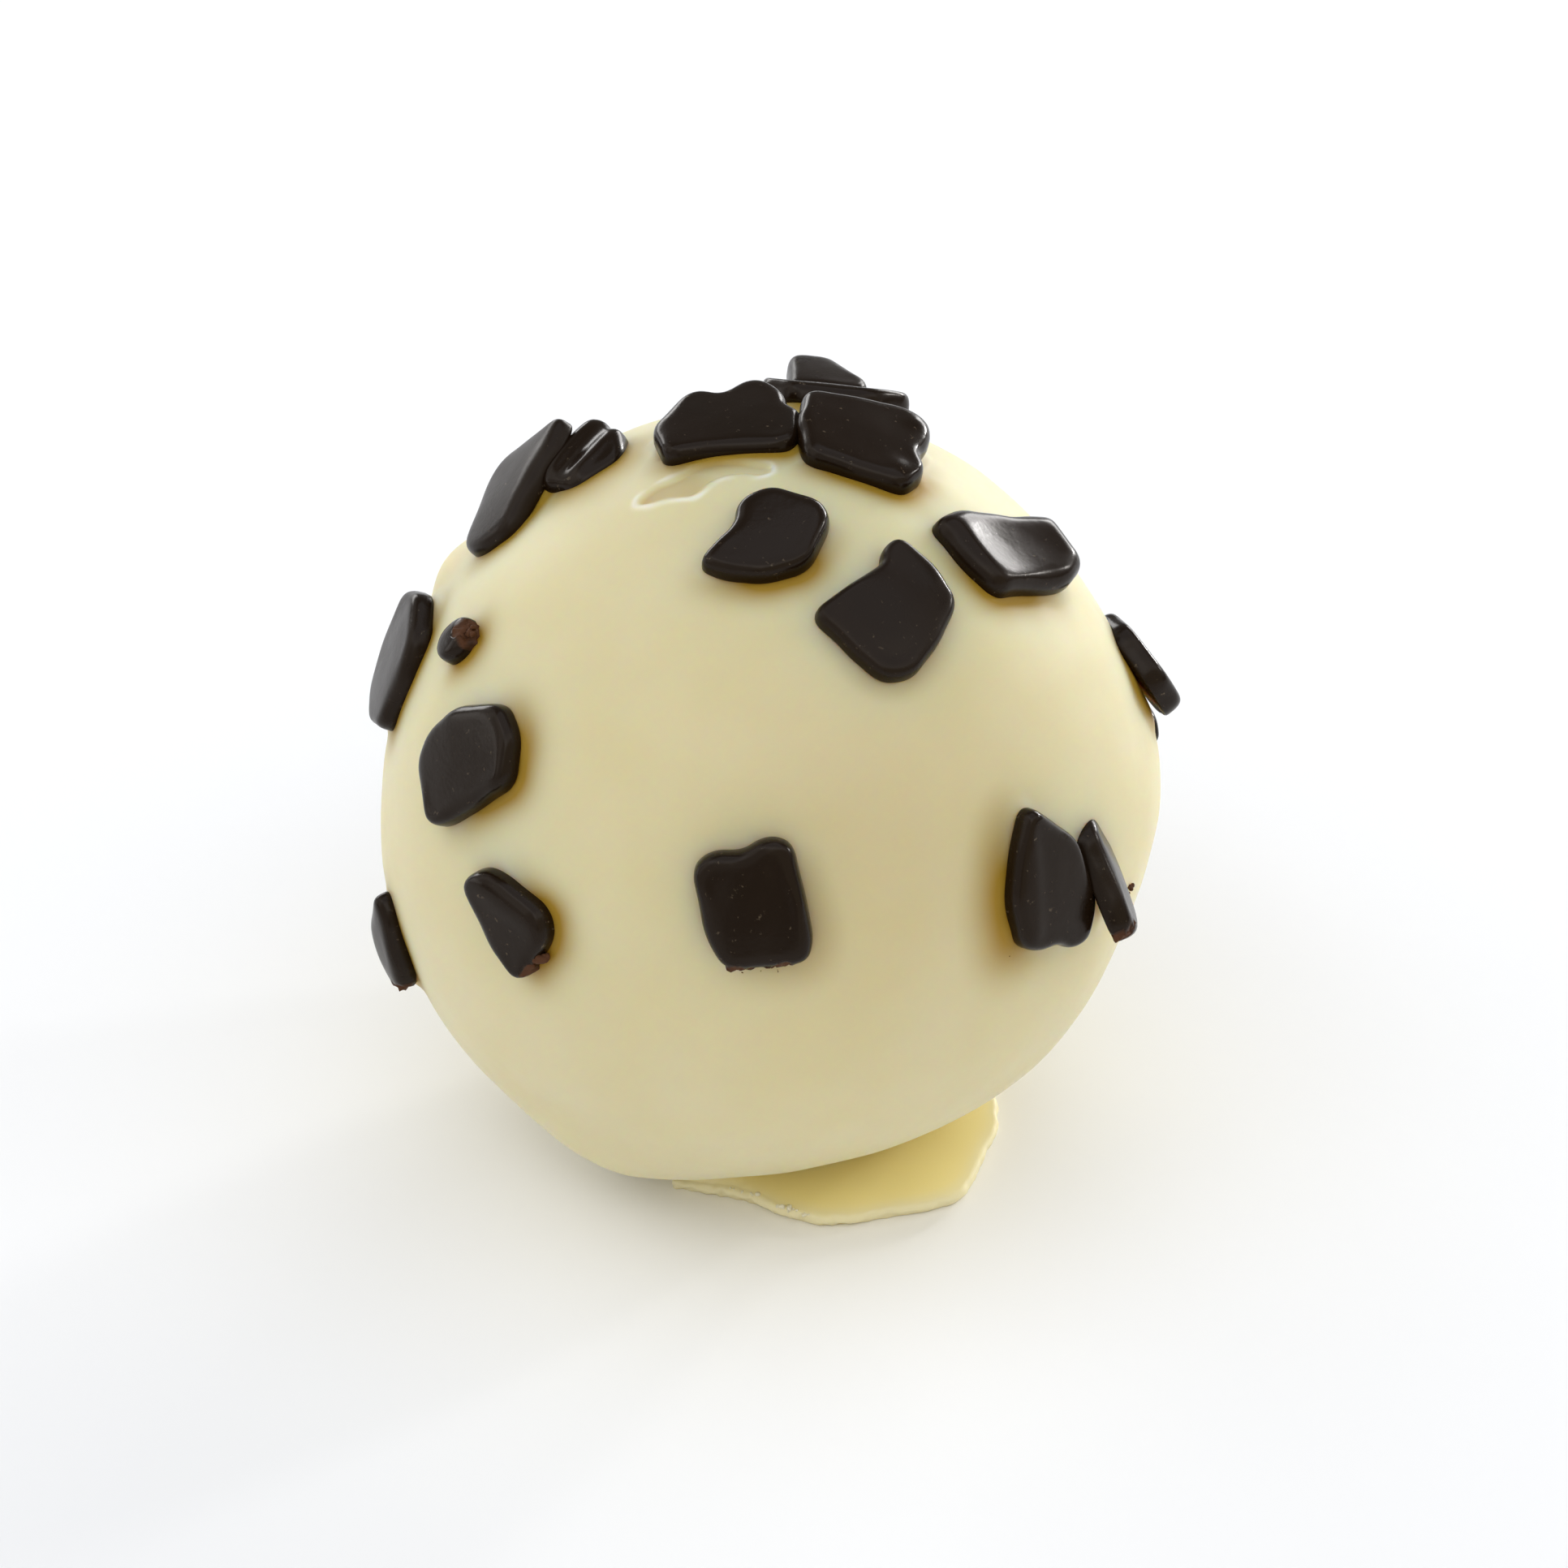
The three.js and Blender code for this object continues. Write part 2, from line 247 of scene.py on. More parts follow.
front_flakes = [
    dict(name="long, leaning at the left shoulder", at=(-111.7, 47.8), faces=(-88, 40), turn=-58,
         lift=0.74, shoulder=1.0, matt=0.9,
         corners=[(-3.2, 0.7), (-0.9, -2.0), (0.2, -2.0), (2.9, -0.7), (3.0, 0.3), (2.6, 1.2),
                  (1.8, 2.0), (-1.6, 1.4)]),
    dict(name="crumpled", at=(-119.5, 57.5), faces=(-76, 68), turn=75, lift=0.2, thickness=1.3,
         shoulder=0.6, matt=0.1, shade=(1.2, 0.8),
         corners=[(-1.7, -1.3), (-1.3, 0.4), (0.3, 1.7), (0.95, 1.4), (1.15, 0.7), (1.65, 0.5),
                  (1.65, -0.5), (1.45, -1.45), (-0.2, -2.2)],
         ridges=[(-1.2, -0.9, 0.5, 1.5, 0.45, 0.22), (0.0, -1.5, 1.4, 0.1, 0.45, 0.2)]),
    dict(name="on the left edge", at=(-94.5, 20.5), faces=(-83, 22), turn=-56, lift=0.45,
         shoulder=0.7, matt=0.7,
         corners=[(-2.7, -0.3), (-2.6, 1.3), (-1.0, 2.4), (0.4, 2.3), (2.6, 0.8), (2.4, -0.9),
                  (1.3, -1.9), (-1.0, -1.6)]),
    dict(name="small nugget", at=(-77, 36), lift=0.2,
         corners=[(-0.9, -0.2), (-0.4, -0.8), (0.45, -0.65), (0.95, 0.2), (0.7, 1.0),
                  (-0.4, 1.0)],
         broken=[(0.6, 1.0, 0.75)]),
    dict(name="at the left", at=(-57, 25.5),
         corners=[(2.6, 0.6), (2.0, 2.2), (0.7, 2.9), (-1.4, 1.6), (-2.3, 0.2), (-2.3, -1.2),
                  (-0.3, -2.75), (0.5, -2.1)]),
    dict(name="pointed, lower left", at=(-40.5, 7.5),
         corners=[(-2.2, 1.0), (-0.7, -0.9), (0.9, -1.9), (1.9, 0.1), (1.7, 1.2), (-0.4, 1.8),
                  (-1.5, 1.7)],
         ridges=[(-1.2, 1.2, 1.4, 0.8, 0.5, 0.05)], broken=[(1.6, -1.5, 0.5)]),
    dict(name="low on the left edge", at=(-74, -14.5), faces=(-62, -7), turn=-77, lift=0.45,
         shoulder=0.8,
         corners=[(-2.2, 0.4), (-1.2, 1.0), (0.6, 0.9), (1.9, 0.6), (2.1, -0.3), (1.0, -0.9),
                  (-0.8, -0.8)],
         broken=[(2.1, 0.3, 0.5)]),
    dict(name="snapped, in the middle", at=(-2, 19.5),
         corners=[(-2.3, 1.2), (-1.7, 1.8), (-0.6, 1.8), (0.4, 2.4), (1.2, 2.2), (2.0, -1.3),
                  (1.8, -2.2), (-1.1, -2.5), (-1.8, -1.2)], shade=(1.3, 0.4),
         broken=[(-0.9, -2.7, 0.34), (-0.5, -2.7, 0.34), (-0.1, -2.7, 0.34), (0.3, -2.7, 0.34),
                 (0.7, -2.65, 0.34), (1.1, -2.6, 0.34)]),
    dict(name="wavy, on the crown", at=(-154, 75.2), faces=(-90, 86), turn=90, lift=0.4,
         thickness=1.0,
         corners=[(-2.7, -0.7), (-2.2, 0.2), (-1.5, 1.3), (-0.9, 1.6), (-0.1, 1.15), (0.7, 2.1),
                  (1.5, 2.1), (2.2, 1.1), (2.25, 0.35), (2.8, -0.1), (2.75, -1.7), (2.4, -2.4),
                  (-0.4, -2.45), (-2.2, -2.6)]),
    dict(name="notched, on the crown", at=(119.5, 74.5), faces=(74, 75.5), turn=-74, lift=0.5,
         thickness=1.0, ridges=[(1.9, 1.2, 1.9, 1.2, 0.4, 0.1), (1.2, -1.9, 1.2, -1.9, 0.5, 0.1)],
         corners=[(-2.3, 2.2), (1.4, 2.2), (2.4, 1.5), (2.4, 0.6), (1.9, -0.5), (2.2, -1.4),
                  (1.5, -2.5), (0.9, -2.5), (-2.2, -1.8), (-2.6, 0.2)]),
    dict(name="across the one behind the crown", at=(166.5, 55), faces=(150, 78), turn=-150,
         lift=1.18, thickness=0.9, matt=0.8,
         corners=[(-1.4, -1.6), (1.3, -1.6), (1.5, -0.9), (0.1, 1.5), (-1.4, 1.5)]),
    dict(name="behind the crown", at=(164.5, 56), faces=(169, 57), turn=-169, lift=0.52,
         thickness=0.9, shoulder=0.6,
         corners=[(-2.7, -0.9), (-1.6, -2.2), (1.5, -2.2), (3.0, -0.8), (2.6, 1.4), (0.2, 2.2),
                  (-2.3, 1.6)]),
    dict(name="kite-shaped, before the crown", at=(-0.5, 73.5), lift=0.25,
         corners=[(-2.6, -1.2), (-1.6, -1.6), (-0.2, -1.8), (1.4, -1.2), (2.2, 1.0), (1.8, 1.8),
                  (0.0, 2.4), (-1.1, 1.8), (-1.3, 0.5)]),
    dict(name="with a knob, at the right", at=(33, 57.2), matt=0.8, shoulder=0.95, crown=0.2,
         shade=(0.8, 0.3),
         ridges=[(1.8, 2.2, 2.4, 0.9, 0.6, 0.1)],
         corners=[(1.9, 2.8), (1.2, 2.6), (0.9, 2.0), (-0.4, 1.8), (-2.7, 1.2), (-1.5, -2.0),
                  (-0.4, -2.3), (1.0, -1.6), (2.7, -0.3), (2.6, 1.2)]),
    dict(name="dished, on the right shoulder", at=(79, 53), faces=(77, 57), turn=-73, matt=0.5,
         crown=-0.24,
         corners=[(-3.25, 0.0), (-2.3, 1.1), (0.2, 2.1), (1.9, 3.1), (2.4, 2.4), (3.3, 1.2),
                  (2.6, -0.1), (0.6, -1.4), (-0.6, -2.2), (-1.8, -1.5)]),
    dict(name="standing out at the right edge", at=(98.5, 18), faces=(115, 29), turn=-129,
         lift=0.3, thickness=1.0, shoulder=0.5, creep=0.4,
         corners=[(-2.3, 0.3), (-1.4, -1.6), (0.8, -1.9), (2.2, -0.7), (2.0, 1.4), (-0.6, 1.8)]),
    dict(name="just round the right edge", at=(107, 1.5), lift=0.25,
         corners=[(-1.3, -0.4), (0.2, -0.7), (1.3, -0.3), (1.1, 0.6), (-0.8, 0.7)]),
    dict(name="tall, lower right", at=(44.5, 12), lift=0.3, shade=(1.5, 0.9),
         corners=[(-0.5, 3.5), (-1.3, 2.0), (-1.9, 0.2), (-1.8, -1.6), (-1.1, -2.1), (-0.1, -2.3),
                  (0.6, -2.8), (1.4, -2.75), (2.05, -1.5), (1.4, 1.4), (0.4, 2.6)],
         ridges=[(-0.9, 2.0, -1.3, -1.2, 0.35, 0.05)]),
    dict(name="leaning on the tall one", at=(56.6, 7.6), faces=(95, 23), turn=-124, lift=0.38,
         thickness=1.05, shoulder=0.8, matt=0.6, creep=0.4,
         corners=[(-2.35, -0.6), (-1.7, -1.3), (1.3, -1.4), (2.2, -1.2), (2.4, 0.1), (1.8, 1.2),
                  (-0.8, 1.5), (-1.9, 1.0)],
         broken=[(2.4, -1.0, 0.5)]),
]
print(len(front_flakes), "flakes at the front")

# %% [markdown]
# The flakes round the back all lie flat, so only their middle and rough size are set one by
# one. Their corners stand round the middle at uneven angles and distances, from a fixed spread
# of values between 0 and 1.

# %% Flakes at the back
# around, up, size in mm
BACK_PLACES = [
    (172, 45, 2.3), (131, 7, 2.5), (153, 20, 2.1), (177, 26, 2.6), (-161, 20, 1.9),
    (-139, 11, 2.7), (-120, -8, 2.2), (143, -11, 2.4), (168, -2, 2.6), (-162, -7, 2.2),
    (-141, -18, 1.7), (120, -15, 2.0),
]


def uneven(number):
    """The fractional part of a large multiple of sin(127.1 number): a fixed value, 0 to 1."""
    value = np.sin(number * 127.1) * 43758.5453
    return value - np.floor(value)


def back_flake(number, around, up, size):
    """A flake whose corners lie at uneven angles and distances round its middle."""
    count = 4 + number % 3
    draw = 20 * number + 2 * np.arange(count)
    angle = (np.arange(count) + 0.6 * (uneven(draw + 1) - 0.5)) * 2 * np.pi / count
    reach = size * (0.78 + 0.44 * uneven(draw + 2))
    corners = np.stack([reach * np.cos(angle), reach * np.sin(angle)], axis=1)
    return dict(name=f"back {number}", at=(around, up), corners=corners,
                turn=360 * uneven(20 * number))


flakes = front_flakes + [back_flake(i, *place) for i, place in enumerate(BACK_PLACES)]
print(len(flakes), "flakes in all")

# %% [markdown]
# A flake has its own frame: x sideways, y uphill and z out along its face, turned about z.

# %% Frames on the coat


def frame_at(at, faces=None, turn=0.0, lift=FLAKE_LIFT):
    """Three axes as rows, and the place in mm: the coat's radius plus `lift` along `at`."""
    outward = direction(*(faces or at))
    sideways = direction((faces or at)[0] + 90, 0)
    uphill = np.cross(outward, sideways)
    c, s = np.cos(np.radians(turn)), np.sin(np.radians(turn))
    axes = np.array([c * sideways + s * uphill, c * uphill - s * sideways, outward])
    along = direction(*at)
    return axes, BALL_CENTRE + along * (coat_radius(along) + lift)


for flake in flakes:
    flake["thickness"] = flake.get("thickness", FLAKE_THICKNESS)
    flake["axes"], flake["place"] = frame_at(
        flake["at"], flake.get("faces"), flake.get("turn", 0.0), flake.get("lift", FLAKE_LIFT))
    flake["outline"] = counter_clockwise(rounded(flake["corners"], FLAKE_SETBACK, 150))
print("mean flake length:",
      np.mean([np.ptp(f["outline"], axis=0).max() for f in flakes]).round(2), "mm")

# %% [markdown]
# ## The white coat
#
# The coat is one closed skin: from the crown down over the ball, through a crease into the
# foot, out to the foot's rim and back under it to the middle. It is made as a grid. The columns
# go round the truffle, and the rows go down it, close together on the crown, where the finest
# relief is, and wider apart below.

# %% Rows and columns
COLUMNS = 400
CROWN_END, SIDE_END = 27, 125  # degrees down from the top
CROWN_ROWS = np.arange(0.35, CROWN_END, 0.35)
SIDE_ROWS = np.arange(CROWN_END, SIDE_END, 0.76)
LOW_ROWS = np.linspace(0, 1, 13)  # parts of the way from the side rows to the foot
around = np.linspace(-180, 180, COLUMNS, endpoint=False)
print(len(CROWN_ROWS) + len(SIDE_ROWS) + len(LOW_ROWS), "rows over the ball")

# %% [markdown]
# The foot's outline is a closed line, but a grid needs its distance from the middle for each
# column. That is an interpolation over the angle, because the outline is seen whole from the
# middle. The foot is highest at the crease and thins toward its rim, and at the left of the
# front, where hardly any chocolate ran out, it is only a thin film under the ball. Where its
# outline would end inside the ball, it is kept just outside.

# %% The foot's outline
FOOT_TOP = 0.85
FOOT_RIM = 0.6
FOOT_SETBACK = 1.2
CREASE = 0.35  # how high and how far out the crease between ball and foot reaches
THIN_AT, THIN_WIDTH, THINNING = -58, 32, 0.62  # middle and width in degrees, and share lost
FILM_REACH, PAST_FILM = 6.9, 4  # how far out the film may reach, and how much further the rest
FILM_WIDTH, FILM_FADE = 22, 20  # degrees either side of its middle, and over which it ends
LEAST_FOOT = 0.25  # how far the foot stands out past the crease at least
FOOT_CORNERS = [
    (-5.2, -6.6), (-2.6, -7.5), (-0.9, -8.0), (0.9, -9.2), (2.5, -9.6), (7.5, -8.2),
    (9.1, -3.2), (8.5, 1.0), (6.4, 5.4), (1.5, 7.9), (-4.0, 7.2), (-7.6, 3.4), (-7.9, -1.6),
]
foot_line = rounded(FOOT_CORNERS, FOOT_SETBACK, 720)
foot_angle = np.degrees(np.arctan2(foot_line[:, 0], -foot_line[:, 1]))
foot_reach = np.interp(around, foot_angle, np.hypot(*foot_line.T), period=360)


def meets_level(height):
    """For each column, how far up the ball is at `height`: up = asin((height - centre) / radius),
    repeated because the radius itself changes with up."""
    up = np.full(COLUMNS, -60.0)
    for _ in range(12):
        radius = coat_radius(direction(around, up))
        up = np.degrees(np.arcsin((height - BALL_CENTRE[2]) / radius))
    return up, radius * np.cos(np.radians(up))


fullness = 1 - THINNING * np.exp(-(((around - THIN_AT) / THIN_WIDTH) ** 4))
foot_top, foot_rim, crease = FOOT_TOP * fullness, FOOT_RIM * fullness, CREASE * fullness
join_up, join_radius = meets_level(foot_top + crease)
_, crease_radius = meets_level(foot_top)
beyond = smooth_step((np.abs(around - THIN_AT) - FILM_WIDTH) / FILM_FADE)
foot_reach = np.minimum(foot_reach, FILM_REACH + PAST_FILM * beyond)
foot_reach = np.maximum(foot_reach, crease_radius + crease + LEAST_FOOT)
print("the foot reaches", foot_reach.min().round(2), "to", foot_reach.max().round(2), "mm out")

# %% [markdown]
# ### The ball's part of the skin
#
# Each point is the coat's radius along its direction, from the ball's centre.

# %% Ball rows
down_low = SIDE_END + LOW_ROWS[:, None] * ((90 - join_up) - SIDE_END)
down = np.vstack([
    np.broadcast_to(np.concatenate([CROWN_ROWS, SIDE_ROWS])[:, None],
                    (len(CROWN_ROWS) + len(SIDE_ROWS), COLUMNS)),
    down_low,
])
out = direction(around[None, :], 90 - down)
ball = BALL_CENTRE + out * coat_radius(out)[..., None]
print("ball rows:", ball.shape[:2])

# %% [markdown]
# ### The mark of a lost flake
#
# One flake came off after the coat had set. It left a shallow recess with a flake's outline and
# a thin rim that stands up round it. The depth inside the outline gives both: the floor drops
# over a short step inside the line, and the rim is a narrow ridge just outside it.

# %% Mark
MARK_DEPTH, MARK_STEP = 0.11, 0.3
MARK_RAGGED = 0.04  # how far the line wanders
RIM_HEIGHT, RIM_WIDTH = 0.02, 0.13
RIM_OUT = 0.1  # how far outside the line the rim is highest
MARK_AT = (-80, 80.5)
MARK_REGION = 16  # degrees round its middle that it can change
MARK_CORNERS = [(-2.75, -0.5), (-2.5, -0.95), (-1.3, -0.85), (-0.5, -1.15), (0.2, -0.35),
                (0.8, 0.0), (2.2, -0.15), (2.6, 0.2), (2.3, 0.7), (0.6, 1.2), (-0.2, 1.15),
                (-1.2, 0.5), (-2.2, 0.15)]
mark_axes, mark_place = frame_at(MARK_AT, turn=80, lift=0)
mark_outline = rounded(MARK_CORNERS, FLAKE_SETBACK, 150)

pale = np.zeros(ball.shape[:2])  # how much paler than the rest the coat is
near = degrees_away(out, *MARK_AT) < MARK_REGION
seen = (ball[near] - mark_place) @ mark_axes.T
depth = depth_inside(seen[:, :2], mark_outline)
depth += MARK_RAGGED * ripples(seen, 0.9, 31)
step = -MARK_DEPTH * smooth_step(depth / MARK_STEP)
rim = bell(depth + RIM_OUT, RIM_WIDTH) * (0.7 + 0.5 * ripples(seen, 1.6, 32))
ball[near] += out[near] * (step + RIM_HEIGHT * rim)[:, None]
pale[near] += np.clip(rim, 0, 1)
print("points in the mark:", int((depth > 0).sum()))

# %% [markdown]
# ### Painted golden shade
#
# Where little light falls, it reaches the eye only through the coat, which turns it golden. That
# shade is painted: how golden each point is, from 0 to 1, is put into the colour, because the
# light of a bright tent alone leaves it too faint. The mark's hollow floor is painted a little
# golden at its deeper end, and so is the middle of the front, where less light reaches.

# %% Painted golden shade in the mark and at the front
# painted shade: golden toward the deeper end of the mark's hollow floor
MARK_PAINTED_SHADE = 0.3
GOLD_STEP, GOLD_FROM, GOLD_FADE = 0.35, 0.9, 1.5  # in from the line, and along the mark
# painted shade: a little golden round the middle of the front, where less light reaches
FRONT_PAINTED_SHADE, FRONT_AT, FRONT_WIDTH = 0.15, (18, 27), 24  # the width is in degrees
close = np.zeros(ball.shape[:2])
close[near] = MARK_PAINTED_SHADE * smooth_step(depth / GOLD_STEP)
close[near] *= smooth_step((GOLD_FROM - seen[:, 0]) / GOLD_FADE)
close += FRONT_PAINTED_SHADE * bell(degrees_away(out, *FRONT_AT), FRONT_WIDTH)
print("most golden in front:", close.max().round(2))

# %% [markdown]
# ### Chocolate creeping up the flakes
#
# A flake is flat and the ball is round, so its middle is sunk in the coat and its corners stand
# off it. Soft chocolate fills that gap and creeps a little up the flake's side. Near each
# flake, the skin is lifted to just above the flake's lower edge, fading out with the distance
# from its outline.
#
# Most light comes from above and behind, so each flake shades the coat on the side that faces
# the front. That shade is painted into the coat's colour as a golden tint, strongest right
# beside the flake.

# %% Creep and painted shade
# painted shade: golden, on each flake's side toward SHELTERED; SHADE is its width and strength
SHELTERED = direction(20, 10)
CREEP, CREEP_WIDTH, MOST_CREEP = 0.05, 0.3, 0.28
CREEP_UNEVEN = 0.05
WIDEST_GAP, GAP_STEP = 1.2, 0.5  # where a flake stands off further, no chocolate creeps up
SHADE = (0.85, 1.0)  # width in mm, and strength
SHADE_HEIGHT = 1.8  # how far off its middle plane a flake shades the coat, in mm
SHADE_LEVEL = 0.2  # share of the shade at right angles to the sheltered side
FLAKE_REGION = 26  # degrees round its middle that a flake can change
for flake in flakes:
    near = degrees_away(out, *flake["at"]) < FLAKE_REGION
    seen = (ball[near] - flake["place"]) @ flake["axes"].T
    depth = depth_inside(seen[:, :2], flake["outline"])
    wanted = CREEP + CREEP_UNEVEN * ripples(seen, 1.5, 33) - flake["thickness"] / 2 - seen[:, 2]
    lift = np.clip(wanted, 0, MOST_CREEP) * smooth_step((WIDEST_GAP - wanted) / GAP_STEP)
    lift *= flake.get("creep", 1.0)
    fade = bell(np.minimum(depth, 0), CREEP_WIDTH)
    ball[near] += flake["axes"][2] * (lift * fade)[:, None]
    sheltered = (flake["axes"] @ SHELTERED)[:2]
    side = seen[:, :2] / np.maximum(np.linalg.norm(seen[:, :2], axis=1, keepdims=True), 0.1)
    facing = side @ sheltered / max(np.linalg.norm(sheltered), 0.3)
    touching = smooth_step(SHADE_HEIGHT - np.abs(seen[:, 2]))
    touching *= smooth_step(SHADE_LEVEL + (1 - SHADE_LEVEL) * facing)
    width, strength = flake.get("shade", SHADE)
    shade = strength * bell(np.minimum(depth, 0), width) * touching
    close[near] = np.maximum(close[near], shade)
print("most golden beside a flake:", close.max().round(2))

# %% [markdown]
# A dipped coat is uneven in a slow way, by a few hundredths of a millimetre, and that bends the
# edges of the light on it. Ripples of two lengths do it, last, so the creep is uneven with it.

# %% Slow unevenness of the coat
SLOW, SLOW_HEIGHT = 7.0, 0.035  # wavelength and height in mm
QUICK, QUICK_HEIGHT = 2.4, 0.012
slow = SLOW_HEIGHT * ripples(ball, SLOW, 34) + QUICK_HEIGHT * ripples(ball, QUICK, 35)
ball += out * slow[..., None]
print("ball height:", ball[..., 2].max().round(3), "mm")

# %% [markdown]
# ### The foot's part of the skin
#
# The foot's rows are a profile in radius and height, carried round with its size from each
# column: a curve through the crease, the flat top, the rim's rounded edge, and the underside.
# The rim is slightly undercut, as where a puddle of chocolate has set against paper.

# %% Foot rows
CREASE_PARTS = np.array([0.3, 0.6, 1.0])
TOP_PARTS = np.linspace(0, 1, 9)[1:-1]
# how far in from the rim each row round the edge is, and its share of the rim's height
EDGE_PROFILE = [(0.24, 1.0), (0.12, 0.95), (0.04, 0.84), (0.0, 0.68), (0.02, 0.5),
                (0.08, 0.32), (0.16, 0.15), (0.22, 0.04), (0.28, 0.0)]
UNDER_PARTS = [0.8, 0.4]

rows_radius, rows_height = [], []
for t in CREASE_PARTS:
    rows_radius.append((1 - t) ** 2 * join_radius + 2 * t * (1 - t) * crease_radius
                       + t**2 * (crease_radius + crease))
    rows_height.append(foot_top + (1 - t) ** 2 * crease)
inner, outer = crease_radius + crease, foot_reach - EDGE_PROFILE[0][0] * fullness
for t in TOP_PARTS:
    rows_radius.append(inner + t * (outer - inner))
    rows_height.append(foot_top + t * (foot_rim - foot_top))
for inset, height in EDGE_PROFILE:
    rows_radius.append(foot_reach - inset * fullness)
    rows_height.append(foot_rim * height)
for part in UNDER_PARTS:
    rows_radius.append(part * (foot_reach - EDGE_PROFILE[-1][0]))
    rows_height.append(np.zeros(COLUMNS))
foot_radius, foot_height = np.array(rows_radius), np.array(rows_height)
turn_round = np.radians(around)
foot = np.stack([foot_radius * np.sin(turn_round), -foot_radius * np.cos(turn_round),
                 foot_height], axis=-1)
print("foot rows:", foot.shape[:2])

# %% [markdown]
# The foot's edge is ragged, because it tore where the truffle was lifted off. Fine ripples push
# the rim in and out, most of all on the left of its front.

# %% Ragged rim
RIM_BAND = 0.5  # how far from the rim's line the ripples reach
MOST_TORN_AT, TORN_WIDTH, LEAST_TORN = -5, 25, 0.4  # in degrees, and the share elsewhere
COARSE_TEAR, FINE_TEAR, MOST_OUT = 0.10, 0.07, 0.12
TOP_WAVE, TOP_DIP = 0.012, 0.02
edge_weight = bell(foot_radius - foot_reach, RIM_BAND) * (foot_height > 0.01)
ragged = LEAST_TORN + (1 - LEAST_TORN) * bell(around - MOST_TORN_AT, TORN_WIDTH)
sideways = foot.copy()
sideways[..., 2] = 0
sideways /= np.linalg.norm(sideways, axis=-1, keepdims=True)
upright = [1, 1, 0.4]  # heights count for less, so the coarse tears run down the edge
wobble = COARSE_TEAR * ripples(foot * upright, 1.3, 36) + FINE_TEAR * ripples(foot, 0.5, 37)
foot += sideways * (edge_weight * ragged * np.minimum(wobble, MOST_OUT))[..., None]
top_weight = (foot_height > 0.97 * foot_rim) & (foot_radius > crease_radius + 0.2)
foot[..., 2] += top_weight * (TOP_WAVE * ripples(foot, 4.0, 38) - TOP_DIP) * fullness
print("foot box:", foot.min((0, 1)).round(2), foot.max((0, 1)).round(2))

# %% [markdown]
# ## Grids become meshes
#
# A grid that closes round its columns, with one point at each end, is a closed skin. The faces
# are four corner indices worked out for the whole grid at once, and a fan of triangles at each
# end. Seen from outside the corners run counter-clockwise, so the faces point outwards.

# %% Closed skins


def skin_faces(rows, columns, first=0):
    """Quads (i, j), (i+1, j), (i+1, j+1), (i, j+1) over the grid and a fan at both ends.
    The first end point comes before the grid and the last one after it."""
    index = first + 1 + np.arange(rows * columns).reshape(rows, columns)
    next_column = np.roll(index, -1, axis=1)
    quads = np.stack([index[:-1], index[1:], next_column[1:], next_column[:-1]], axis=-1)
    top = np.stack([np.full(columns, first), index[0], next_column[0]], axis=-1)
    bottom_point = np.full(columns, first + 1 + rows * columns)
    bottom = np.stack([bottom_point, next_column[-1], index[-1]], axis=-1)
    return quads.reshape(-1, 4), np.vstack([top, bottom])


def join_skins(skins):
    """Points, quads and triangles of many closed skins, each (rows, columns, points). The faces
    of each count on from the last one's points."""
    quads, triangles, first = [], [], 0
    for rows, columns, points in skins:
        more_quads, more_triangles = skin_faces(rows, columns, first)
        quads.append(more_quads)
        triangles.append(more_triangles)
        first += len(points)
    return np.vstack([skin[2] for skin in skins]), np.vstack(quads), np.vstack(triangles)


def make_piece(name, points, quads, triangles, material, slot, **values):
    """A smooth-shaded mesh object from points in mm, riding on the truffle's body. Each extra
    value is stored for every point under its own name."""
    mesh = bpy.data.meshes.new(name)
    mesh.from_pydata(points * MM, [], quads.tolist() + triangles.tolist())
    mesh.polygons.foreach_set("use_smooth", np.ones(len(mesh.polygons), bool))
    for key, value in values.items():
        stored = mesh.attributes.new(key, "FLOAT", "POINT")
        stored.data.foreach_set("value", np.ascontiguousarray(value, dtype=np.float32).ravel())
    mesh.materials.append(material)
    mesh.validate()
    piece = bpy.data.objects.new(name, mesh)
    scene.collection.objects.link(piece)
    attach(piece, "root")
    print(name, "has", 2 * len(quads) + len(triangles), "triangles")
    return piece


# %% [markdown]
# ## White chocolate
#
# White chocolate is cocoa butter and milk: light goes a little way in, loses its blue and comes
# out again, so shaded hollows glow yellow while the lit skin stays cream. That is subsurface
# scattering, with red travelling furthest. The thin foot and the places with painted golden
# shade scatter less, or their colour would wash out. The skin has a satin sheen, and two soft
# noises keep the colour and the gloss from being dead even.

# %% A new material


def new_material(name):
    """A new material, with its node tree and its Principled shader."""
    material = bpy.data.materials.new(name)
    material.use_nodes = True
    return material, material.node_tree, material.node_tree.nodes["Principled BSDF"]


# %% Patterns and stored values


def noise(tree, scale, detail=3.0, roughness=0.5):
    """A noise texture on Object coordinates; `scale` is per metre."""
    place = tree.nodes.new("ShaderNodeTexCoord")
    texture = tree.nodes.new("ShaderNodeTexNoise")
    texture.inputs["Scale"].default_value = scale
    texture.inputs["Detail"].default_value = detail
    texture.inputs["Roughness"].default_value = roughness
    tree.links.new(place.outputs["Object"], texture.inputs["Vector"])
    return texture.outputs["Fac"]


def attribute(tree, name):
    """The value stored on the mesh under that name."""
    node = tree.nodes.new("ShaderNodeAttribute")
    node.attribute_name = name
    return node.outputs["Fac"]


# %% Changing numbers


def spread(tree, value, low, high, to_low, to_high):
    """Maps value from low..high to to_low..to_high, held at both ends."""
    node = tree.nodes.new("ShaderNodeMapRange")
    tree.links.new(value, node.inputs["Value"])
    for socket, number in zip(("From Min", "From Max", "To Min", "To Max"),
                              (low, high, to_low, to_high)):
        node.inputs[socket].default_value = number
    return node.outputs["Result"]


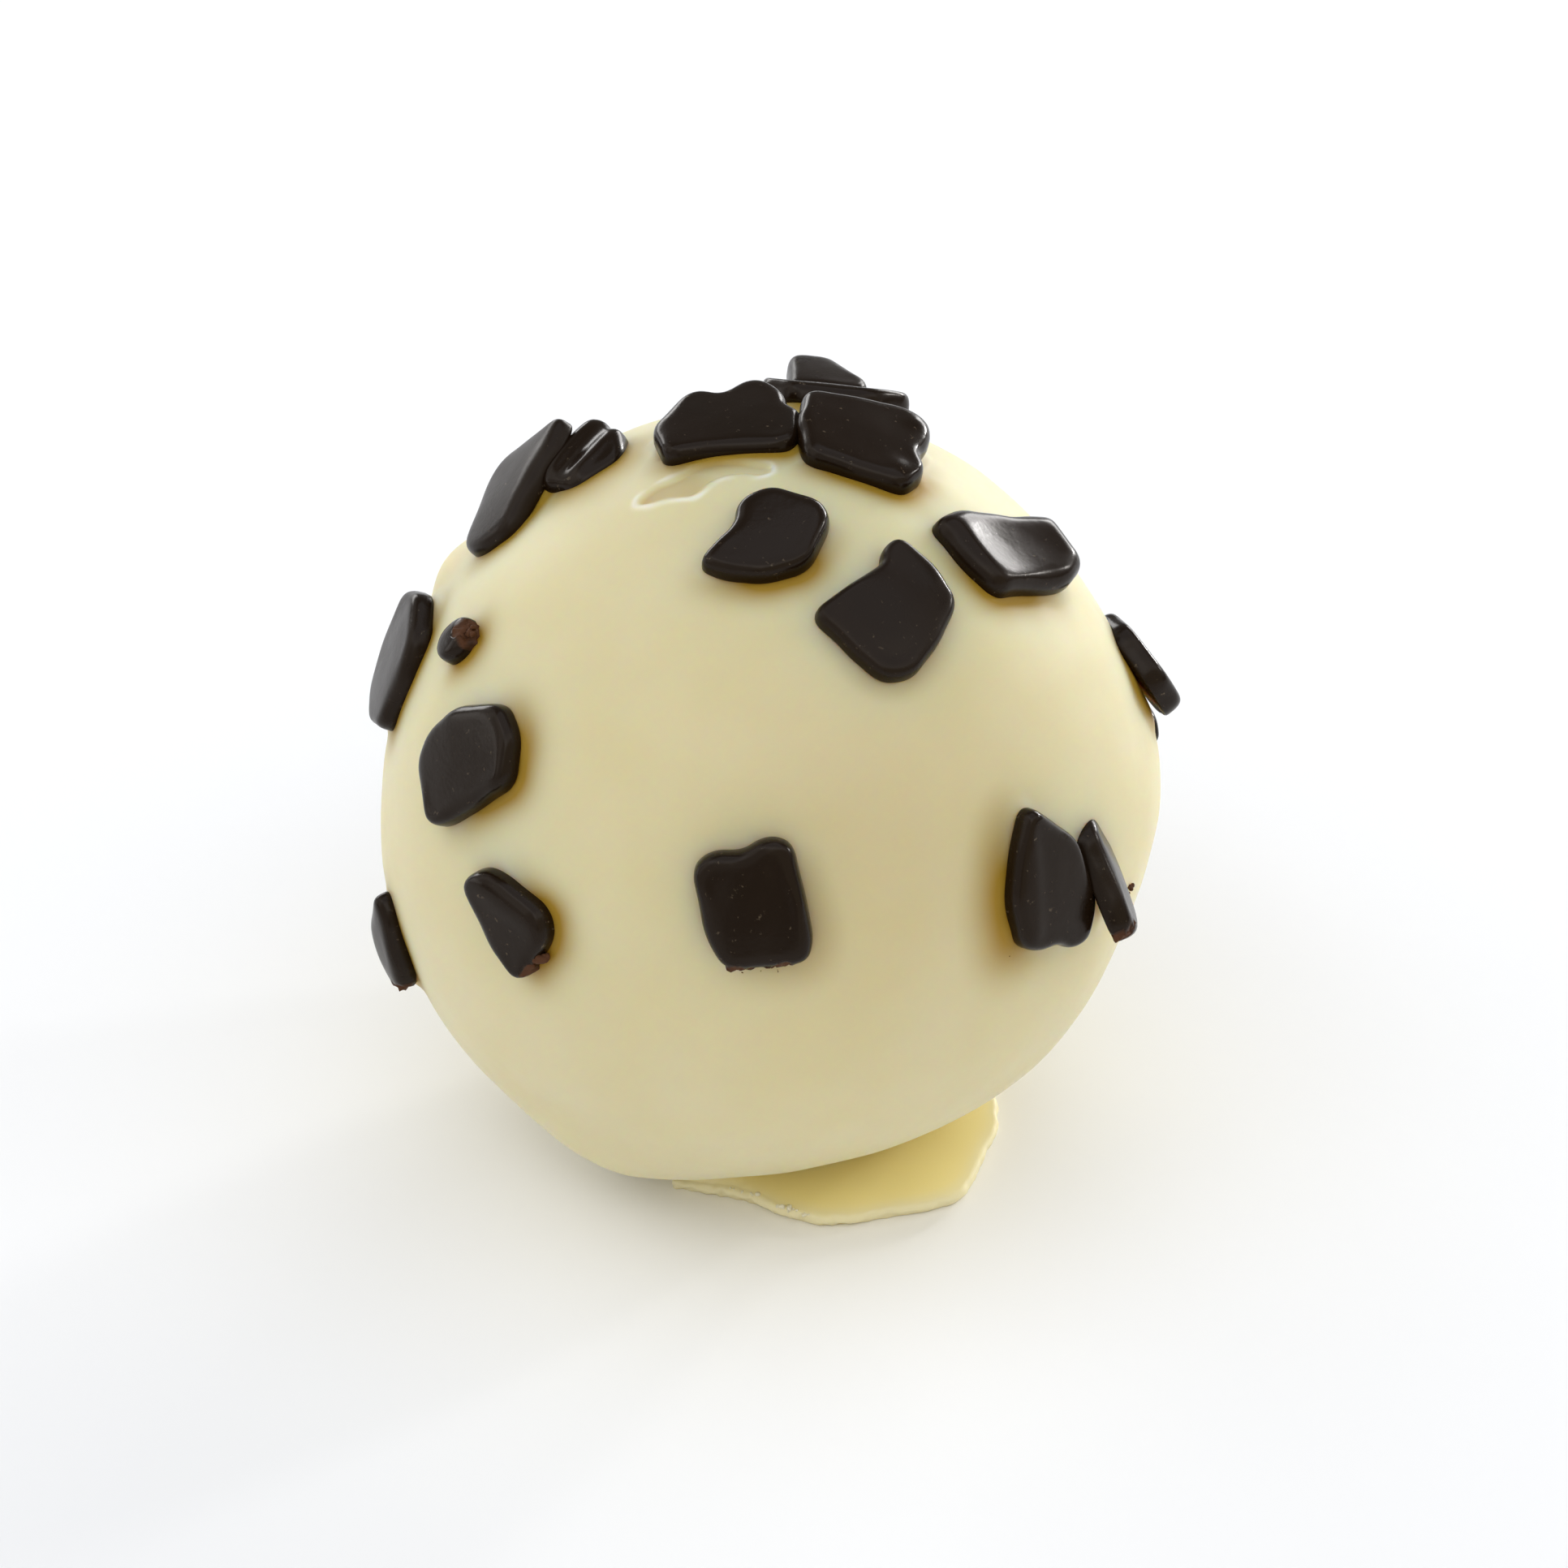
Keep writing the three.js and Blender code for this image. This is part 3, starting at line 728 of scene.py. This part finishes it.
def combine(tree, operation, first, second):
    """One number made of two others, by an operation such as MULTIPLY or MAXIMUM."""
    node = tree.nodes.new("ShaderNodeMath")
    node.operation = operation
    tree.links.new(first, node.inputs[0])
    tree.links.new(second, node.inputs[1])
    return node.outputs[0]


# %% Blends and bumps


def blend_colours(tree, factor, first, second):
    """A mix of two colours, each a tuple or another node's output, by a factor."""
    node = tree.nodes.new("ShaderNodeMix")
    node.data_type = "RGBA"
    tree.links.new(factor, node.inputs["Factor"])
    for socket, colour in zip((node.inputs[6], node.inputs[7]), (first, second)):
        if isinstance(colour, tuple):
            socket.default_value = (*colour, 1.0)
        else:
            tree.links.new(colour, socket)
    return node.outputs[2]


def bump(tree, height, strength, distance, base=None):
    """Tilts the surface as if `height` stood `distance` metres high."""
    node = tree.nodes.new("ShaderNodeBump")
    node.inputs["Strength"].default_value = strength
    node.inputs["Distance"].default_value = distance
    tree.links.new(height, node.inputs["Height"])
    if base is not None:
        tree.links.new(base, node.inputs["Normal"])
    return node.outputs["Normal"]


# %% White chocolate
CREAM = (0.680, 0.620, 0.390)
CREAM_DEEP = (0.665, 0.600, 0.355)
CREAM_PALE = (0.80, 0.76, 0.60)
# painted shade: the next colour is the golden tint painted where little light falls
PAINTED_SHADE_GOLD = (0.36, 0.205, 0.015)
FULL_PAINTED_SHADE = 0.8  # how golden a point is when it takes PAINTED_SHADE_GOLD whole
FOOT_BUTTER = (0.93, 0.78, 0.33)

white, tree, shader = new_material("set_white_chocolate")
cloudy = noise(tree, 220.0, 2.0)
fine = noise(tree, 1800.0, 3.0)
tone = blend_colours(tree, spread(tree, cloudy, 0.35, 0.65, 0, 1), CREAM, CREAM_DEEP)
tone = blend_colours(tree, attribute(tree, "foot"), tone, FOOT_BUTTER)
# paler: the mark's rim and the pale crumbs, and a painted highlight along the foot's rim
tone = blend_colours(tree, attribute(tree, "pale"), tone, CREAM_PALE)
# painted shade: the coat turns toward the golden tint by how much shade is painted there
painted_shade_share = spread(tree, attribute(tree, "close"), 0, FULL_PAINTED_SHADE, 0, 1)
tone = blend_colours(tree, painted_shade_share, tone, PAINTED_SHADE_GOLD)
tree.links.new(tone, shader.inputs["Base Color"])
scatter_in_foot = spread(tree, attribute(tree, "foot"), 0, 1, 1, 0.1)
scatter_if_painted_shade = spread(tree, attribute(tree, "close"), 0, 1, 1, 0.4)
scatter_share = combine(tree, "MULTIPLY", scatter_in_foot, scatter_if_painted_shade)
tree.links.new(scatter_share, shader.inputs["Subsurface Weight"])
tree.links.new(spread(tree, fine, 0.3, 0.7, 0.46, 0.54), shader.inputs["Roughness"])
tree.links.new(bump(tree, fine, 0.12, 0.00003), shader.inputs["Normal"])
shader.inputs["IOR"].default_value = 1.46
shader.inputs["Subsurface Radius"].default_value = (1.0, 0.6, 0.2)
shader.inputs["Subsurface Scale"].default_value = 0.005
shader.inputs["Specular IOR Level"].default_value = 0.3
print("white chocolate ready")

# %% [markdown]
# The coat's points are the crown's point, the ball's rows, the foot's rows and the middle of
# the underside, in that order.

# %% The coat
# painted highlight: the foot's rim is paler where it catches the light past the ball's shadow
RIM_PAINTED_HIGHLIGHT = 0.5
crown_point = BALL_CENTRE + [0, 0, ball[0, :, 2].mean() - BALL_CENTRE[2]]
coat_points = np.vstack([crown_point, ball.reshape(-1, 3), foot.reshape(-1, 3), [0, 0, 0]])
quads, triangles = skin_faces(len(ball) + len(foot), COLUMNS)
foot_zeros = np.zeros(foot.shape[:2])
rim_painted_highlight = RIM_PAINTED_HIGHLIGHT * edge_weight
in_foot = smooth_step(np.arange(len(foot)) / len(CREASE_PARTS))[:, None]
in_foot = np.broadcast_to(in_foot, foot.shape[:2])


def with_ends(ball_values, foot_values):
    """Values for the whole coat: both end points take 0."""
    return np.concatenate([[0], ball_values.ravel(), foot_values.ravel(), [0]])


coat = make_piece("coat", coat_points, quads, triangles, white, "white_chocolate",
                  pale=with_ends(pale, rim_painted_highlight), close=with_ends(close, foot_zeros),
                  foot=with_ends(np.zeros(ball.shape[:2]), in_foot))
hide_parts("flaked_truffle")

# %% [markdown]
# ## Dark chocolate flakes
#
# A flake is a plate that has softened: nearly flat on its face, with broad rounded shoulders
# and sides that spread toward its foot. Its skin is the outline carried through rings, from the
# middle of the face out to the edge and back under. The height at each point follows from its
# depth inside the outline. The curve is like a quarter ellipse, but with a third power in
# place of the square: it leaves the face softly and meets the coat steeply.
#
# Plain distance makes a crease wherever two edges are equally near. Adding up all edges, each
# weighted by one over its distance to the fourth power, gives a depth without creases that is
# the plain distance beside a straight edge.

# %% Soft depth
PIECES = 4  # that each step of the outline is cut into
NEAR_LINE = 0.3  # how far in the plain distance still counts, in mm
LEAST_SQUARE = 1e-4  # of a distance, so that none is divided by zero


def soft_depth(points, outline):
    """(pi/2 / sum(length / distance^4))^(1/3), blended to the plain distance near the line."""
    plain = np.maximum(depth_inside(points, outline), 0)
    step = np.roll(outline, -1, axis=0) - outline
    parts = np.linspace(0, 1, PIECES, endpoint=False)[:, None]
    fine_line = (outline[:, None] + parts * step[:, None]).reshape(-1, 2)
    length = np.repeat(np.linalg.norm(step, axis=1) / PIECES, PIECES)
    away = ((points[..., None, :] - fine_line) ** 2).sum(-1)
    total = (length / np.maximum(away, LEAST_SQUARE) ** 2).sum(-1)
    soft = (np.pi / 2 / total) ** (1 / 3)
    return plain + (soft - plain) * smooth_step(plain / NEAR_LINE)


# %% [markdown]
# No two flakes have the same edge. The shoulder's width changes slowly round each of them, some
# have ridges and knobs, and the face is slightly crowned and bent by slow waves, so each catches
# the light its own way. The sides spread a little past the outline at the coat.

# %% Round edges and ridges


def round_edge(depth, radius):
    """How far below the face the skin is: radius - sqrt(radius^2 - (radius - depth)^2)."""
    short = np.clip(radius - depth, 0, radius)
    return radius - np.sqrt(radius**2 - short**2)


def ridge_heights(points, ridges):
    """Sum of height * bell(distance to the line from (x1, y1) to (x2, y2), width)."""
    total = np.zeros(points.shape[:-1])
    for x1, y1, x2, y2, width, height in ridges:
        start, along = np.array([x1, y1]), np.array([x2 - x1, y2 - y1])
        part = np.clip((points - start) @ along / max(along @ along, 1e-9), 0, 1)
        away = np.linalg.norm(points - start - part[..., None] * along, axis=-1)
        total += height * bell(away, width)
    return total


# %% One flake's skin
SHOULDER = 0.75
SPREAD = 0.12
CROWN = 0.08
UNDER_ROUND = 0.14
EDGE_UNEVEN, SHOULDER_UNEVEN = 0.02, 0.25  # in mm, and as a share of the shoulder
SLOW_WAVE, QUICK_WAVE = 0.015, 0.002
FULL_WAVES = 0.8  # how deep inside the outline the face's waves are whole
SIDE_SHARE = 0.82  # how much of the thickness the shoulder and side take
SHOULDER_STEPS = np.array([1.0, 0.8, 0.63, 0.48, 0.35, 0.24, 0.15, 0.08, 0.035, 0.01, 0])
UNDER_INSETS = np.array([0.02, 0.07, 0.16])
FACE_PARTS = np.array([0.12, 0.26, 0.4, 0.54, 0.68, 0.8, 0.91])  # of the way to the shoulder


def flake_skin(flake, number):
    """Rings of points in the flake's own frame, from the face's middle to the underside's."""
    outline, half = flake["outline"], flake["thickness"] / 2
    uneven_line = [ripples(outline, 1.8, 50 + number), ripples(outline, 1.8, 90 + number)]
    outline = outline + EDGE_UNEVEN * np.stack(uneven_line, axis=1)
    along = np.roll(outline, -1, axis=0) - np.roll(outline, 1, axis=0)
    along /= np.linalg.norm(along, axis=1, keepdims=True)
    outline = outline + SPREAD * np.stack([along[:, 1], -along[:, 0]], axis=1)
    middle = outline.mean(0)
    reach = np.linalg.norm(outline - middle, axis=1).mean()
    width = flake.get("shoulder", SHOULDER)
    scales = 1 - width * SHOULDER_STEPS / reach
    scales = np.concatenate([FACE_PARTS * scales[0], scales])
    face = middle + scales[:, None, None] * (outline - middle)
    depth = soft_depth(face, outline)
    depth[-1] = 0
    width = width * (1 + SHOULDER_UNEVEN * ripples(face, 3.5, 110 + number))
    short = 1 - np.clip(depth / width, 0, 1)
    drop = SIDE_SHARE * flake["thickness"] * (1 - np.cbrt(1 - short**3))
    waves = SLOW_WAVE * ripples(face, 5.0, 130 + number)
    waves += QUICK_WAVE * ripples(face, 1.2, 170 + number)
    waves += ridge_heights(face, flake.get("ridges", []))
    waves -= flake.get("crown", CROWN) * ((face - middle) ** 2).sum(-1) / reach**2
    face_height = half - drop + waves * smooth_step(depth / FULL_WAVES)
    under = middle + (1 - UNDER_INSETS / reach)[:, None, None] * (outline - middle)
    under_height = -half + round_edge(UNDER_INSETS, UNDER_ROUND)[:, None]
    flat = np.vstack([face, under])
    height = np.vstack([face_height, np.broadcast_to(under_height, under.shape[:2])])
    ends = np.array([[*middle, face_height[0].mean()], [*middle, -half]])
    return np.concatenate([flat, height[..., None]], axis=-1), ends


# %% [markdown]
# Where a flake snapped, its edge is raw: matt, reddish brown and crumbly. Each crumbly spot
# fades out from its middle, and there two sizes of ripples roughen the skin.

# %% Broken spots
BREAK_UNEVEN = 0.12  # how far the break's edge wanders
BREAK_FADE = 0.35  # share of its reach over which a break fades out
ROUGH, FINER = 0.07, 0.04


def in_three_directions(points, wavelength, seed):
    """A vector for each point, with separate ripples for x, y and z."""
    return np.stack([ripples(points, wavelength, seed + 3 * i) for i in range(3)], axis=-1)


def crumble(rings, spots, number):
    """Roughens the rings near each spot and returns them with how broken each point is."""
    broken = np.zeros(rings.shape[:-1])
    for x, y, reach in spots:
        away = np.linalg.norm(rings[..., :2] - [x, y], axis=-1)
        away += BREAK_UNEVEN * ripples(rings, 0.5, 210 + number)
        broken = np.maximum(broken, smooth_step((reach - away) / (BREAK_FADE * reach)))
    rough = (ROUGH * in_three_directions(rings, 0.45, 220 + number)
             + FINER * in_three_directions(rings, 0.2, 230 + number))
    return rings + broken[..., None] * rough, broken


# %% [markdown]
# The flakes are nearly black with a touch of brown. Each has its own gloss, from polished to
# matt, and a few pale specks of cocoa butter lie in their skin. Where one is broken, it is brown
# and matt.

# %% Dark chocolate
DARK = (0.0085, 0.0044, 0.0018)
DARK_WARM = (0.0115, 0.0058, 0.0025)
RAW_BROWN = (0.080, 0.032, 0.014)
PALE_SPECK = (0.30, 0.23, 0.15)

dark, tree, shader = new_material("glossy_dark_chocolate")
cloudy = noise(tree, 500.0, 2.0)
fine = noise(tree, 6000.0, 4.0, 0.6)
raw = attribute(tree, "broken")
tone = blend_colours(tree, cloudy, DARK, DARK_WARM)
tone = blend_colours(tree, raw, tone, RAW_BROWN)
specks = noise(tree, 3500.0, 3.0, 0.6)
tone = blend_colours(tree, spread(tree, specks, 0.66, 0.74, 0, 0.22), tone, PALE_SPECK)
tree.links.new(tone, shader.inputs["Base Color"])
cloudiness = spread(tree, cloudy, 0.3, 0.7, 0.85, 1.15)
own_roughness = spread(tree, attribute(tree, "matt"), 0, 1, 0.14, 0.32)
skin_roughness = combine(tree, "MULTIPLY", cloudiness, own_roughness)
raw_roughness = spread(tree, raw, 0, 1, 0.2, 0.75)
roughness = combine(tree, "MAXIMUM", skin_roughness, raw_roughness)
tree.links.new(roughness, shader.inputs["Roughness"])
grain = bump(tree, fine, 0.15, 0.00002)
dimples = bump(tree, noise(tree, 1500.0, 2.0), 0.15, 0.00005, grain)
tree.links.new(dimples, shader.inputs["Normal"])
shader.inputs["IOR"].default_value = 1.5
shader.inputs["Specular IOR Level"].default_value = 0.18
shader.inputs["Specular Tint"].default_value = (1.0, 0.91, 0.82, 1.0)
print("dark chocolate ready")

# %% [markdown]
# All flakes have one finish and ride on one body, so they are one mesh. Each flake's rings are
# turned into place, and its faces count on from the last flake's points.

# %% All flakes in one mesh
USUAL_MATT = 0.3
skins, brokens, matts = [], [], []
for number, flake in enumerate(flakes):
    rings, ends = flake_skin(flake, number)
    rings, broken = crumble(rings, flake.get("broken", []), number)
    local = np.vstack([ends[:1], rings.reshape(-1, 3), ends[1:]])
    skins.append((*rings.shape[:2], flake["place"] + local @ flake["axes"]))
    brokens.append(np.concatenate([[0], broken.ravel(), [0]]))
    matts.append(np.full(len(local), flake.get("matt", USUAL_MATT)))
make_piece("flakes", *join_skins(skins), dark, "dark_chocolate",
           broken=np.concatenate(brokens), matt=np.concatenate(matts))

# %% [markdown]
# ## Crumbs
#
# Snapped flakes and the foot's torn edge leave crumbs. A crumb is a ball with a few lengthwise
# and crosswise lines, pushed in and out by coarse ripples. Each group has a middle, a spread,
# a count and a size; the places inside it are drawn at random from a fixed seed.

# %% Crumb shapes
CRUMB_ROWS, CRUMB_COLUMNS = 7, 10
CRUMB_UNEVEN = 0.3
CRUMB_STRETCH = (0.6, 1.2)  # least and greatest, along each of three directions


def crumb_points(centre, size, seed):
    """Rings of a ball of that size whose radius is uneven by up to about a third, and ends."""
    up = np.radians(np.linspace(90, -90, CRUMB_ROWS + 2))[1:-1, None]
    turn = 2 * np.pi * np.arange(CRUMB_COLUMNS) / CRUMB_COLUMNS
    unit = np.stack([np.cos(up) * np.cos(turn), np.cos(up) * np.sin(turn),
                     np.sin(up) + 0 * turn], axis=-1)
    ends = np.array([[0, 0, 1.0], [0, 0, -1.0]])
    every = np.vstack([ends[:1], unit.reshape(-1, 3), ends[1:]])
    draw = np.random.default_rng(seed)
    every *= (1 + CRUMB_UNEVEN * ripples(every + seed, 1.4, 300))[:, None]
    stretch = draw.uniform(*CRUMB_STRETCH, 3)
    tilt = np.linalg.qr(draw.normal(size=(3, 3)))[0]
    tilt *= np.sign(np.linalg.det(tilt))
    return centre + size / 2 * (every * stretch) @ tilt


def crumbs_mesh(name, places, material, slot, **values):
    """One mesh from rows of (x, y, z, size)."""
    skins = [(CRUMB_ROWS, CRUMB_COLUMNS, crumb_points(np.array([x, y, z]), size, 400 + number))
             for number, (x, y, z, size) in enumerate(places)]
    points, quads, triangles = join_skins(skins)
    values = {key: np.full(len(points), value) for key, value in values.items()}
    make_piece(name, points, quads, triangles, material, slot, **values)


# %% [markdown]
# The dark crumbs sit on the coat by the broken flakes; a few lie on the flakes. The pale ones
# lie along the foot's rim.

# %% Crumbs in place
# around and up of the middle, height above the coat, spread, count, least and greatest size
DARK_CRUMBS = [
    ("chip at the pointed flake's end", -34.4, 4.8, 0.3, 0.0, 1, 0.6, 0.6),
    ("chip beside it", -33.6, 5.6, 0.25, 0.1, 2, 0.25, 0.35),
    ("below the snapped flake", -1.0, 9.4, 0.0, 0.6, 5, 0.05, 0.09),
    ("at the leaning flake's end", 67.5, -2.0, 0.0, 0.25, 5, 0.12, 0.28),
    ("on the nugget", -73.5, 39.5, 0.4, 0.3, 6, 0.15, 0.32),
    ("loose, at the front", 15.0, 0.0, 0.0, 7.0, 5, 0.04, 0.06),
]


def scatter(groups, seed):
    """Rows of (x, y, z, size): a normal draw round each group's middle, set on the coat."""
    draw = np.random.default_rng(seed)
    rows = []
    for _, turned, up, height, group_spread, count, least, greatest in groups:
        degrees = np.degrees(group_spread / BALL_RADIUS)
        for _ in range(count):
            place = direction(turned + degrees * draw.normal(), up + degrees * draw.normal() / 2)
            rows.append([*(BALL_CENTRE + place * (coat_radius(place) + height)),
                         draw.uniform(least, greatest)])
    return rows


crumbs_mesh("dark_crumbs", scatter(DARK_CRUMBS, 41), dark, "dark_chocolate",
            broken=1.0, matt=1.0)

PALE_FROM, PALE_TO, PALE_COUNT = -14, 10, 16  # degrees round the foot, and how many
PALE_HEIGHTS, PALE_SIZES = (-0.1, 0.05), (0.08, 0.26)
RIM_ROW = len(CREASE_PARTS) + len(TOP_PARTS) + 1
draw = np.random.default_rng(42)
rim_columns = np.argmin(
    np.abs(around[:, None] - draw.uniform(PALE_FROM, PALE_TO, PALE_COUNT)), axis=0)
pale_rows = [[*(foot[RIM_ROW, column] + [0, 0, draw.uniform(*PALE_HEIGHTS)]),
              draw.uniform(*PALE_SIZES)] for column in rim_columns]
crumbs_mesh("pale_crumbs", pale_rows, white, "white_chocolate", pale=0.85, close=0.0, foot=1.0)

# %% [markdown]
# ## Floor and light
#
# The truffle stands on a white table in a white tent: soft boxes left, right and behind, a cool
# one above, and broad, dim ones at the camera's side, one of them warm, so the front stays deeper
# in colour than the edges. Two small boxes at the right give the flakes their sharp highlights.

# %% Floor
FLOOR_HALF = 0.6  # metres
floor_mesh = bpy.data.meshes.new("floor")
corners = [(x * FLOOR_HALF, y * FLOOR_HALF, 0) for x, y in ((-1, -1), (1, -1), (1, 1), (-1, 1))]
floor_mesh.from_pydata(corners, [], [(0, 1, 2, 3)])
floor = bpy.data.objects.new("floor", floor_mesh)
scene.collection.objects.link(floor)
paper, _, shader = new_material("white_paper")
shader.inputs["Base Color"].default_value = (0.9, 0.9, 0.9, 1)
shader.inputs["Roughness"].default_value = 0.8
shader.inputs["Specular IOR Level"].default_value = 0.1
floor_mesh.materials.append(paper)

# %% Lights
BOX_DISTANCE = 450.0
NEUTRAL, COOL, WARM = (1.0, 1.0, 1.0), (0.90, 0.97, 1.12), (1.0, 0.91, 0.70)
# name, around, up, width and height in mm, watts, colour
SOFT_BOXES = [
    ("back_left_box", -150, 12, 260, 120, 0.55, NEUTRAL),
    ("back_right_box", 150, 12, 200, 120, 0.75, NEUTRAL),
    ("right_box", 92, 28, 300, 300, 0.17, NEUTRAL),
    ("left_box", -80, 40, 450, 450, 0.35, NEUTRAL),
    ("left_back_box", -118, 33, 350, 350, 0.20, NEUTRAL),
    ("left_low_box", -102, 7, 300, 80, 0.12, NEUTRAL),
    ("left_front_box", -40, 35, 650, 650, 0.65, NEUTRAL),
    ("front_right_box", 35, 30, 600, 600, 0.55, WARM),
    ("top_box", 40, 78, 600, 600, 1.00, COOL),
    ("key_box", 137, 9, 40, 40, 0.50, NEUTRAL),
    ("side_key_box", 114, 18, 35, 35, 0.25, NEUTRAL),
]


def soft_box(name, around, up, width, height, watts, colour):
    """A rectangular area light on a direction from the ball's centre, facing it."""
    data = bpy.data.lights.new(name, "AREA")
    data.shape = "RECTANGLE"
    data.energy, data.size, data.size_y = watts, width * MM, height * MM
    data.color = colour
    back, side = direction(around, up), direction(around + 90, 0)
    add_turned(name, data, [side, np.cross(back, side), back], BALL_CENTRE + back * BOX_DISTANCE)


for box in SOFT_BOXES:
    soft_box(*box)
world = bpy.data.worlds.new("tent")
world.use_nodes = True
tent_light = world.node_tree.nodes["Background"]
tent_light.inputs["Color"].default_value = (1, 1, 1, 1)
tent_light.inputs["Strength"].default_value = 0.25
scene.world = world
scene.view_settings.view_transform = "Standard"
print(len(SOFT_BOXES), "soft boxes")
